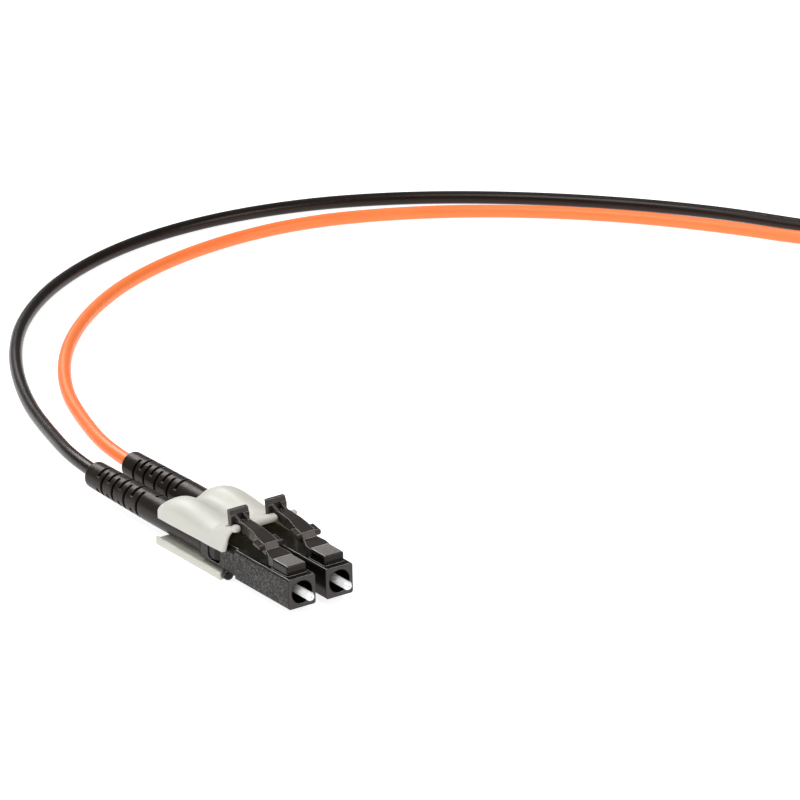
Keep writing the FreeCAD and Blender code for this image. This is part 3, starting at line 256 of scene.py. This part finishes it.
def fibre_cord(name, route, turns, material):
    """One cord as a smooth curve: the route's corners and the turns are its control points."""
    line = bpy.data.curves.new(name, "CURVE")
    line.dimensions = "3D"
    spline = line.splines.new("NURBS")
    points = route + turns
    spline.points.add(len(points) - 1)
    for point, place in zip(spline.points, points):
        point.co = (*place, 1.0)
    spline.order_u = 3
    spline.use_endpoint_u = True
    spline.resolution_u = 6
    line.bevel_depth = cord_radius
    line.bevel_resolution = 5
    line.use_fill_caps = True
    line.materials.append(material)
    made = bpy.data.objects.new(name, line)
    scene.collection.objects.link(made)
    return made


# From where the jacket ends, in the crimp sleeve, out of the boot and over the table to the coil.
near_route = [
    (-0.00365, -0.003125, 0.00335), (-0.0208, -0.003125, 0.00335), (-0.0339, -0.00249, 0.00335),
    (-0.04637, 0.00147, 0.0021), (-0.06102, 0.00654, 0.001), (-0.07591, 0.01362, 0.001),
    (-0.08885, 0.02304, 0.001), (-0.09934, 0.0361, 0.001), (-0.10581, 0.05195, 0.001),
    (-0.10709, 0.0685, 0.001), (-0.10384, 0.08426, 0.001), (-0.09706, 0.09805, 0.001),
    (-0.08784, 0.11044, 0.001), (-0.07644, 0.12217, 0.001), (-0.06264, 0.13325, 0.001),
    (-0.04725, 0.14151, 0.0011), (-0.0339, 0.1487, 0.0016),
]
far_route = [
    (-0.00365, 0.003125, 0.00335), (-0.0208, 0.003125, 0.00335), (-0.03396, 0.00339, 0.00335),
    (-0.04691, 0.00765, 0.0021), (-0.06197, 0.01365, 0.001), (-0.07491, 0.02187, 0.001),
    (-0.08583, 0.03313, 0.001), (-0.09398, 0.04685, 0.001), (-0.09811, 0.06294, 0.001),
    (-0.09779, 0.07912, 0.001), (-0.09195, 0.09401, 0.001), (-0.0827, 0.10776, 0.001),
    (-0.07119, 0.11986, 0.001), (-0.05705, 0.13047, 0.001), (-0.04336, 0.13828, 0.001),
    (-0.0302, 0.1436, 0.0036), (-0.025, 0.1516, 0.0074), (-0.0263, 0.161, 0.008),
]
# The black jacket keeps a narrow, weak highlight; the orange one has a broader, stronger sheen.
black_jacket = jacket_finish("drawn_black_pvc", "#14100F", "#1F1A18", rough=0.24, shine=0.26)
orange_jacket = jacket_finish("drawn_orange_pvc", "#FF7A38", "#FF8646", rough=0.34, shine=0.5)

cord_near = fibre_cord("black_cord", near_route, stored_turns(-60.0, 0.0016), black_jacket)
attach(cord_near, "frame")
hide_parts("cord_near", "cord_coil_near")
cord_far = fibre_cord("orange_cord", far_route, stored_turns(0.0, 0.0077), orange_jacket)
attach(cord_far, "frame")
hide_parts("cord_far", "cord_coil_far")


# ---------------------------------------------------------------- ferrules
# Zirconia sleeves 1.25 mm across that carry the glass fibre in a 0.125 mm bore, ground and
# polished to a shallow dome at the tip. Each is pressed into its metal flange.

half_pitch = 3.125 * mm  # from the middle plane to a plug's axis
axis_height = 3.35 * mm
fibre_radius = 0.0625 * mm


def coat(finish, slot, *names):
    """Gives CAD nodes a finish, in every material slot that their objects have."""
    for name in names:
        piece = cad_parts[name]
        for holder in piece.material_slots:
            holder.link = "OBJECT"
            holder.material = finish


def zirconia_finish():
    """Polished zirconia: dense white ceramic in which light spreads a few millimetres, with a
    wet gloss. The fibre shows as a dark dot in the middle of the tip: what lies less than its
    radius from the plug's axis."""
    made, tree, out = new_finish("polished_white_zirconia")
    place = add(tree, "ShaderNodeTexCoord")
    cloud = add(
        tree, "ShaderNodeTexNoise",
        {"Vector": place.outputs["Object"], "Scale": per_metre(0.7143), "Detail": 2.0},
    )
    base = add(
        tree, "ShaderNodeMix",
        {"Factor": cloud.outputs["Fac"], 6: colour("#EEF0EF"), 7: colour("#E6E9E7")},
        data_type="RGBA",
    )
    at = add(tree, "ShaderNodeSeparateXYZ", {"Vector": place.outputs["Object"]})
    sideways = add(tree, "ShaderNodeMath", {0: at.outputs["Y"]}, operation="ABSOLUTE")
    off_axis = add(
        tree, "ShaderNodeMath", {0: sideways.outputs[0], 1: half_pitch}, operation="SUBTRACT",
    )
    height = add(
        tree, "ShaderNodeMath", {0: at.outputs["Z"], 1: axis_height}, operation="SUBTRACT",
    )
    flat = add(tree, "ShaderNodeCombineXYZ", {"X": off_axis.outputs[0], "Y": height.outputs[0]})
    radius = add(tree, "ShaderNodeVectorMath", {0: flat.outputs[0]}, operation="LENGTH")
    dot = add(
        tree, "ShaderNodeMath", {0: radius.outputs["Value"], 1: fibre_radius},
        operation="LESS_THAN",
    )
    seen = add(
        tree, "ShaderNodeMix",
        {"Factor": dot.outputs[0], 6: base.outputs[2], 7: colour("#2B3036")},
        data_type="RGBA",
    )
    gloss = add(
        tree, "ShaderNodeMapRange",
        {"Value": cloud.outputs["Fac"], "To Min": 0.14, "To Max": 0.22},
    )
    relief = add(
        tree, "ShaderNodeBump",
        {"Height": cloud.outputs["Fac"], "Strength": 0.05, "Distance": 0.02 * mm},
    )
    skin = add(
        tree, "ShaderNodeBsdfPrincipled",
        {
            "Base Color": seen.outputs[2],
            "Roughness": gloss.outputs["Result"],
            "Normal": relief.outputs["Normal"],
        },
    )
    skin.inputs["IOR"].default_value = 1.9
    skin.inputs["Subsurface Weight"].default_value = 0.9
    skin.inputs["Subsurface Radius"].default_value = (3.5 * mm, 3.5 * mm, 3.5 * mm)
    skin.inputs["Subsurface Scale"].default_value = 1.0
    tree.links.new(skin.outputs["BSDF"], out.inputs["Surface"])
    return made


coat(zirconia_finish(), "zirconia", "ferrule_near", "ferrule_far")


# ---------------------------------------------------------------- flanges, springs, fibres, sleeves
# Inside the plug: a nickel-plated brass flange pressed on the ferrule, a stainless coil
# spring behind it, and the tight-buffered fibre that runs through both. In the boot, an
# aluminium sleeve crimps the cord's yarn on the rear body.


def turned_metal_finish(name, light, dark, lay_mm, rough):
    """Turned or drawn metal: fine tool lines round the axis, so a stripe along X at the pitch
    of the feed, with faint clouding where the plating is thinner."""
    made, tree, out = new_finish(name)
    place = add(tree, "ShaderNodeTexCoord")
    stretch = add(
        tree, "ShaderNodeMapping",
        {"Vector": place.outputs["Object"], "Scale": (1.0, 0.02, 0.02)},
    )
    lines = add(
        tree, "ShaderNodeTexNoise",
        {"Vector": stretch.outputs[0], "Scale": per_metre(lay_mm), "Detail": 2.0},
    )
    cloud = add(
        tree, "ShaderNodeTexNoise",
        {"Vector": place.outputs["Object"], "Scale": per_metre(1.667), "Detail": 3.0},
    )
    base = add(
        tree, "ShaderNodeMix",
        {"Factor": cloud.outputs["Fac"], 6: colour(light), 7: colour(dark)},
        data_type="RGBA",
    )
    gloss = add(
        tree, "ShaderNodeMapRange",
        {"Value": lines.outputs["Fac"], "To Min": rough, "To Max": rough + 0.15},
    )
    relief = add(
        tree, "ShaderNodeBump",
        {"Height": lines.outputs["Fac"], "Strength": 0.15, "Distance": 0.03 * mm},
    )
    skin = add(
        tree, "ShaderNodeBsdfPrincipled",
        {
            "Base Color": base.outputs[2],
            "Roughness": gloss.outputs["Result"],
            "Normal": relief.outputs["Normal"],
        },
    )
    skin.inputs["Metallic"].default_value = 1.0
    tree.links.new(skin.outputs["BSDF"], out.inputs["Surface"])
    return made


# Nickel over turned brass: pale, with a warm cast.
coat(
    turned_metal_finish(
        "turned_nickel_plated_brass", "#C9C5B8", "#B5AF9E", lay_mm=0.08, rough=0.24,
    ),
    "flange_metal", "ferrule_flange_near", "ferrule_flange_far",
)
# Drawn stainless wire: a darker, neutral grey with the finest lines and the tightest gloss.
coat(
    turned_metal_finish(
        "drawn_stainless_spring_wire", "#B9BBBD", "#9C9EA1", lay_mm=0.05, rough=0.22,
    ),
    "spring_steel", "ferrule_spring_near", "ferrule_spring_far",
)
# Swaged aluminium: pale and dull, with coarse lines from the tube's drawing.
coat(
    turned_metal_finish(
        "swaged_aluminium_sleeve", "#C8CACC", "#AEB1B4", lay_mm=0.12, rough=0.34,
    ),
    "crimp_metal", "crimp_sleeve_near", "crimp_sleeve_far",
)
# Tight buffer: yellow plastic extruded on the glass, as a jacket is on its yarn but duller.
coat(
    jacket_finish("extruded_yellow_buffer", "#D9B843", "#E2C65C", rough=0.4, shine=0.4),
    "fibre_buffer", "buffered_fibre_near", "buffered_fibre_far",
)


# ---------------------------------------------------------------- plug housings
# Square black noses of glass-filled PBT, moulded in one piece with the latch's root block.
# The mould is spark eroded, and its granular skin is drawn on the pair's outer sides and on the
# root's top, with light speckles that are painted highlights on the crater rims. The inner sides,
# in the shade between the plugs, are left smooth and dark, a painted shade. The skin grows faint at
# the back of the rear part.

half_nose = 2.25 * mm
nose_top, nose_bottom = axis_height + half_nose, axis_height - half_nose
nose_front = 25.05 * mm
root_top = 7.05 * mm  # of the latch's root block
faint_to, full_from = 7.8 * mm, 9.2 * mm  # along X, where the skin grows from faint to full
border = 0.1 * mm  # width of the soft limit of the skin


def along_edges(tree, rounded):
    """One on the edges and nought on the faces: how far the rounded normal has turned away
    from the face's own, by the cosine between the two."""
    face = add(tree, "ShaderNodeNewGeometry")
    pair = {0: rounded.outputs[0], 1: face.outputs["Normal"]}
    cosine = add(tree, "ShaderNodeVectorMath", pair, operation="DOT_PRODUCT")
    return add(
        tree, "ShaderNodeMapRange",
        {"Value": cosine.outputs["Value"], "From Min": 0.995, "From Max": 0.93},
    )


def painted_edge_highlight(tree, rounded):
    """Painted highlight of an edge: light where it has turned upwards, by the height of its rounded
    normal, and a painted dark line elsewhere."""
    tilt = add(tree, "ShaderNodeSeparateXYZ", {"Vector": rounded.outputs[0]})
    up = add(
        tree, "ShaderNodeMapRange",
        {"Value": tilt.outputs["Z"], "From Min": 0.6, "From Max": 0.85},
    )
    return add(
        tree, "ShaderNodeMix",
        {"Factor": up.outputs[0], 6: colour("#070706"), 7: colour("#D2CECA")},
        data_type="RGBA",
    )


def speckle_highlight_sides(tree, at, faces):
    """How much of the granular skin, with its painted highlights, a point carries, from nought to
    one. A point's distance from the middle plane, times the sideways part of its normal, is large
    on the pair's outer sides alone, so the inner sides, in the shade between the plugs, get none: a
    painted shade. The skin keeps between the heights of the nose's underside and top, and grows
    faint at the back."""
    outward = add(
        tree, "ShaderNodeMath", {0: at.outputs["Y"], 1: faces.outputs["Y"]},
        operation="MULTIPLY",
    )
    outer = add(
        tree, "ShaderNodeMapRange",
        {"Value": outward.outputs[0], "From Min": 3.2 * mm, "From Max": 4.8 * mm},
    )
    forward = add(
        tree, "ShaderNodeMapRange",
        {"Value": at.outputs["X"], "From Min": faint_to, "From Max": full_from, "To Min": 0.15},
    )
    below_top = add(
        tree, "ShaderNodeMapRange",
        {"Value": at.outputs["Z"], "From Min": nose_top, "From Max": nose_top - border},
    )
    above_bottom = add(
        tree, "ShaderNodeMapRange",
        {
            "Value": at.outputs["Z"],
            "From Min": nose_bottom - border / 2,
            "From Max": nose_bottom + border / 2,
        },
    )
    flank = add(
        tree, "ShaderNodeMath", {0: outer.outputs[0], 1: forward.outputs[0]},
        operation="MULTIPLY",
    )
    band = add(
        tree, "ShaderNodeMath", {0: below_top.outputs[0], 1: above_bottom.outputs[0]},
        operation="MULTIPLY",
    )
    return add(
        tree, "ShaderNodeMath", {0: flank.outputs[0], 1: band.outputs[0]},
        operation="MULTIPLY",
    )


def lit_front_faces(tree, at, faces):
    """One on the front faces and nought elsewhere, by a point's place and normal along X. There the
    faces are painted paler, as painted light from the front.
    """
    ahead = add(
        tree, "ShaderNodeMapRange",
        {
            "Value": at.outputs["X"],
            "From Min": nose_front - 0.12 * mm,
            "From Max": nose_front - 0.07 * mm,
        },
    )
    facing = add(
        tree, "ShaderNodeMapRange",
        {"Value": faces.outputs["X"], "From Min": 0.6, "From Max": 0.9},
    )
    return add(
        tree, "ShaderNodeMath", {0: ahead.outputs[0], 1: facing.outputs[0]},
        operation="MULTIPLY",
    )


def eroded_black_finish():
    """Glass-filled PBT from a spark-eroded mould: craters about a quarter of a millimetre across,
    drawn on the outer sides and on the top of the latch's root, with light speckles that are
    painted highlights on their rims. The inner sides are left smooth and dark, a painted shade. The
    root's top is painted paler, partly its matt skin and partly painted light. The front faces are
    smooth and painted a little paler too, as painted light, and all the rest is a smooth, glossy
    black. The edges are rounded and glossy, with a painted highlight where they face up and a
    painted dark line elsewhere."""
    made, tree, out = new_finish("eroded_black_pbt")
    place = add(tree, "ShaderNodeTexCoord")
    at = add(tree, "ShaderNodeSeparateXYZ", {"Vector": place.outputs["Object"]})
    faces = add(tree, "ShaderNodeSeparateXYZ", {"Vector": place.outputs["Normal"]})
    # Where the skin and its painted highlights go: the outer sides alone, so the inner sides stay
    # dark as painted shade.
    sides = speckle_highlight_sides(tree, at, faces)
    front = lit_front_faces(tree, at, faces)
    lit_grainy_root_top = add(
        tree, "ShaderNodeMapRange",
        {
            "Value": at.outputs["Z"],
            "From Min": root_top - 0.07 * mm,
            "From Max": root_top - 0.03 * mm,
        },
    )
    where = add(
        tree, "ShaderNodeMath", {0: sides.outputs[0], 1: lit_grainy_root_top.outputs[0]},
        operation="ADD", use_clamp=True,
    )
    grain = add(
        tree, "ShaderNodeTexNoise",
        {
            "Vector": place.outputs["Object"],
            "Scale": per_metre(0.2381),
            "Detail": 5.0,
            "Roughness": 0.68,
        },
    )
    crest = add(
        tree, "ShaderNodeMapRange",
        {"Value": grain.outputs["Fac"], "From Min": 0.48, "From Max": 0.62},
    )
    held = add(
        tree, "ShaderNodeMath", {0: crest.outputs[0], 1: where.outputs[0]},
        operation="MULTIPLY",
    )
    rounded = add(tree, "ShaderNodeBevel", {"Radius": 0.18 * mm}, samples=6)
    edge = along_edges(tree, rounded)
    inside = add(tree, "ShaderNodeMath", {0: 1.0, 1: edge.outputs[0]}, operation="SUBTRACT")
    grain_and_glints = add(
        tree, "ShaderNodeMath", {0: held.outputs[0], 1: inside.outputs[0]},
        operation="MULTIPLY",
    )
    # The root's top is painted pale grey: partly its real matt skin, partly painted light, as it
    # catches the light from above.
    ground = add(
        tree, "ShaderNodeMix",
        {"Factor": lit_grainy_root_top.outputs[0], 6: colour("#0C0B0B"), 7: colour("#73706D")},
        data_type="RGBA",
    )
    # The smooth front faces are painted a paler grey: painted light from the front.
    lit_front_tone = add(
        tree, "ShaderNodeMix",
        {"Factor": front.outputs[0], 6: ground.outputs[2], 7: colour("#413D3D")},
        data_type="RGBA",
    )
    # The light speckles mixed in here are painted highlights on the crater rims; the grain's relief
    # is real.
    faced = add(
        tree, "ShaderNodeMix",
        {"Factor": grain_and_glints.outputs[0], 6: lit_front_tone.outputs[2], 7: colour("#5D5C5C")},
        data_type="RGBA",
    )
    # Edges: a painted highlight where they turn up, a painted dark line elsewhere.
    painted_rim = painted_edge_highlight(tree, rounded)
    base = add(
        tree, "ShaderNodeMix",
        {"Factor": edge.outputs[0], 6: faced.outputs[2], 7: painted_rim.outputs[2]},
        data_type="RGBA",
    )
    matt = add(
        tree, "ShaderNodeMath", {0: where.outputs[0], 1: inside.outputs[0]},
        operation="MULTIPLY",
    )
    gloss = add(
        tree, "ShaderNodeMapRange",
        {"Value": matt.outputs[0], "To Min": 0.18, "To Max": 0.5},
    )
    relief = add(
        tree, "ShaderNodeBump",
        {
            "Height": grain_and_glints.outputs[0],
            "Strength": 0.5,
            "Distance": 0.06 * mm,
            "Normal": rounded.outputs[0],
        },
    )
    skin = add(
        tree, "ShaderNodeBsdfPrincipled",
        {
            "Base Color": base.outputs[2],
            "Roughness": gloss.outputs["Result"],
            "Normal": relief.outputs["Normal"],
        },
    )
    skin.inputs["IOR"].default_value = 1.55
    skin.inputs["Specular IOR Level"].default_value = 0.22
    skin.inputs["Specular Tint"].default_value = colour("#FFF4EE")
    tree.links.new(skin.outputs["BSDF"], out.inputs["Surface"])
    return made


coat(eroded_black_finish(), "plug_polymer", "plug_housing_near", "plug_housing_far")


# ---------------------------------------------------------------- latch levers and rear bodies
# The springing levers are of the same black polymer from a polished mould, so they have a soft
# gloss and slightly rounded edges, with a painted highlight where the edges turn up. The bodies
# that close the plugs are rougher, and painted darker, a painted shade.


def satin_black_finish(name, body, sheen, edge_mm, edge_highlight, rough, peel_mm, depth, shine):
    """Moulded black polymer: faint flow clouding about 1 mm across, orange-peel of the given width
    and depth, and edges rounded by the given radius, which carry a painted highlight where they
    turn up and a painted dark line elsewhere, by the given share."""
    made, tree, out = new_finish(name)
    place = add(tree, "ShaderNodeTexCoord")
    cloud = add(
        tree, "ShaderNodeTexNoise",
        {"Vector": place.outputs["Object"], "Scale": per_metre(1.111), "Detail": 3.0},
    )
    peel = add(
        tree, "ShaderNodeTexNoise",
        {"Vector": place.outputs["Object"], "Scale": per_metre(peel_mm), "Detail": 2.0},
    )
    faced = add(
        tree, "ShaderNodeMix",
        {"Factor": cloud.outputs["Fac"], 6: colour(body), 7: colour(sheen)},
        data_type="RGBA",
    )
    gloss = add(
        tree, "ShaderNodeMapRange",
        {"Value": cloud.outputs["Fac"], "To Min": rough, "To Max": rough + 0.14},
    )
    soft_edge = add(tree, "ShaderNodeBevel", {"Radius": edge_mm * mm}, samples=6)
    edge = along_edges(tree, soft_edge)
    share = add(tree, "ShaderNodeMath", {0: edge.outputs[0], 1: edge_highlight}, operation="MULTIPLY")
    # Edges: a painted highlight where they turn up, a painted dark line elsewhere, by the given
    # share.
    painted_rim = painted_edge_highlight(tree, soft_edge)
    base = add(
        tree, "ShaderNodeMix",
        {"Factor": share.outputs[0], 6: faced.outputs[2], 7: painted_rim.outputs[2]},
        data_type="RGBA",
    )
    relief = add(
        tree, "ShaderNodeBump",
        {
            "Height": peel.outputs["Fac"],
            "Strength": depth,
            "Distance": 0.05 * mm,
            "Normal": soft_edge.outputs[0],
        },
    )
    skin = add(
        tree, "ShaderNodeBsdfPrincipled",
        {
            "Base Color": base.outputs[2],
            "Roughness": gloss.outputs["Result"],
            "Normal": relief.outputs["Normal"],
        },
    )
    skin.inputs["IOR"].default_value = 1.52
    skin.inputs["Specular IOR Level"].default_value = shine
    skin.inputs["Specular Tint"].default_value = colour("#FFF0E8")
    tree.links.new(skin.outputs["BSDF"], out.inputs["Surface"])
    return made


# Levers: dark grey with a tight gloss, and a strong painted highlight on their up-turned edges.
coat(
    satin_black_finish(
        "satin_black_pbt", "#2E2A28", "#383432",
        edge_mm=0.15, edge_highlight=0.75, rough=0.15, peel_mm=0.26, depth=0.15, shine=0.3,
    ),
    "plug_polymer", "latch_lever_near", "latch_lever_far",
)
# Rear bodies: pitted, and painted nearly black, darker than the levers of the same polymer: a
# painted shade for the housings' windows.
coat(
    satin_black_finish(
        "shaded_rough_black_pbt", "#080707", "#262222",
        edge_mm=0.12, edge_highlight=0.4, rough=0.3, peel_mm=0.2, depth=1.0, shine=0.22,
    ),
    "plug_polymer", "rear_body_near", "rear_body_far",
)


# ---------------------------------------------------------------- boots
# Slotted bend-relief tubes of soft black elastomer, pushed over the crimped sleeves. The skin is
# matt and a little warm, and the slots' lips are well rounded, with a faint painted highlight where
# they turn up.

coat(
    satin_black_finish(
        "soft_black_elastomer", "#1E1A18", "#292421",
        edge_mm=0.2, edge_highlight=0.3, rough=0.26, peel_mm=0.4, depth=0.4, shine=0.14,
    ),
    "boot_rubber", "boot_near", "boot_far",
)


# ---------------------------------------------------------------- duplex clip
# One springy moulding in natural, off-white polymer that holds both plugs and boots at their
# pitch, with a hood over the boots and a floor plate under them.


def natural_polymer_finish():
    """Unpigmented polymer, moulded: warm off-white, a little translucent, satin, with soft
    clouding about 3 mm across and a fine skin of 0.2 mm."""
    made, tree, out = new_finish("natural_offwhite_polymer")
    place = add(tree, "ShaderNodeTexCoord")
    cloud = add(
        tree, "ShaderNodeTexNoise",
        {"Vector": place.outputs["Object"], "Scale": per_metre(3.03), "Detail": 3.0},
    )
    peel = add(
        tree, "ShaderNodeTexNoise",
        {"Vector": place.outputs["Object"], "Scale": per_metre(0.1923), "Detail": 2.0},
    )
    base = add(
        tree, "ShaderNodeMix",
        {"Factor": cloud.outputs["Fac"], 6: colour("#C2C1B8"), 7: colour("#CAC9C0")},
        data_type="RGBA",
    )
    gloss = add(
        tree, "ShaderNodeMapRange",
        {"Value": cloud.outputs["Fac"], "To Min": 0.4, "To Max": 0.52},
    )
    soft_edge = add(tree, "ShaderNodeBevel", {"Radius": 0.18 * mm}, samples=4)
    relief = add(
        tree, "ShaderNodeBump",
        {
            "Height": peel.outputs["Fac"],
            "Strength": 0.12,
            "Distance": 0.04 * mm,
            "Normal": soft_edge.outputs[0],
        },
    )
    skin = add(
        tree, "ShaderNodeBsdfPrincipled",
        {
            "Base Color": base.outputs[2],
            "Roughness": gloss.outputs["Result"],
            "Normal": relief.outputs["Normal"],
        },
    )
    skin.inputs["IOR"].default_value = 1.5
    skin.inputs["Subsurface Weight"].default_value = 0.4
    skin.inputs["Subsurface Radius"].default_value = (1.6 * mm, 1.5 * mm, 1.2 * mm)
    skin.inputs["Subsurface Scale"].default_value = 1.0
    tree.links.new(skin.outputs["BSDF"], out.inputs["Surface"])
    return made


coat(natural_polymer_finish(), "clip_polymer", "duplex_clip")


# ---------------------------------------------------------------- coil ties
# Two flat straps of black hook-and-loop tape that hold the stored turns together. Each is
# closed on itself, and comes off when the cords are laid.


def loop_tape_finish():
    """Hook-and-loop tape: a matt black ground of 0.4 mm yarns under a quarter-millimetre fuzz
    of loops, with soft, folded edges."""
    made, tree, out = new_finish("black_loop_tape")
    place = add(tree, "ShaderNodeTexCoord")
    yarns = add(
        tree, "ShaderNodeTexVoronoi",
        {"Vector": place.outputs["Object"], "Scale": per_metre(0.4)},
    )
    fuzz = add(
        tree, "ShaderNodeTexNoise",
        {"Vector": place.outputs["Object"], "Scale": per_metre(0.25), "Detail": 4.0},
    )
    base = add(
        tree, "ShaderNodeMix",
        {"Factor": fuzz.outputs["Fac"], 6: colour("#0E0E0F"), 7: colour("#222224")},
        data_type="RGBA",
    )
    pile = add(
        tree, "ShaderNodeMath", {0: yarns.outputs["Distance"], 1: fuzz.outputs["Fac"]},
        operation="ADD",
    )
    gloss = add(
        tree, "ShaderNodeMapRange",
        {"Value": fuzz.outputs["Fac"], "To Min": 0.75, "To Max": 0.95},
    )
    folded = add(tree, "ShaderNodeBevel", {"Radius": 0.4 * mm}, samples=4)
    relief = add(
        tree, "ShaderNodeBump",
        {
            "Height": pile.outputs[0],
            "Strength": 0.6,
            "Distance": 0.15 * mm,
            "Normal": folded.outputs[0],
        },
    )
    skin = add(
        tree, "ShaderNodeBsdfPrincipled",
        {
            "Base Color": base.outputs[2],
            "Roughness": gloss.outputs["Result"],
            "Normal": relief.outputs["Normal"],
        },
    )
    skin.inputs["Sheen Weight"].default_value = 0.3
    tree.links.new(skin.outputs["BSDF"], out.inputs["Surface"])
    return made


coat(loop_tape_finish(), "tie_fabric", "coil_tie_front", "coil_tie_back")
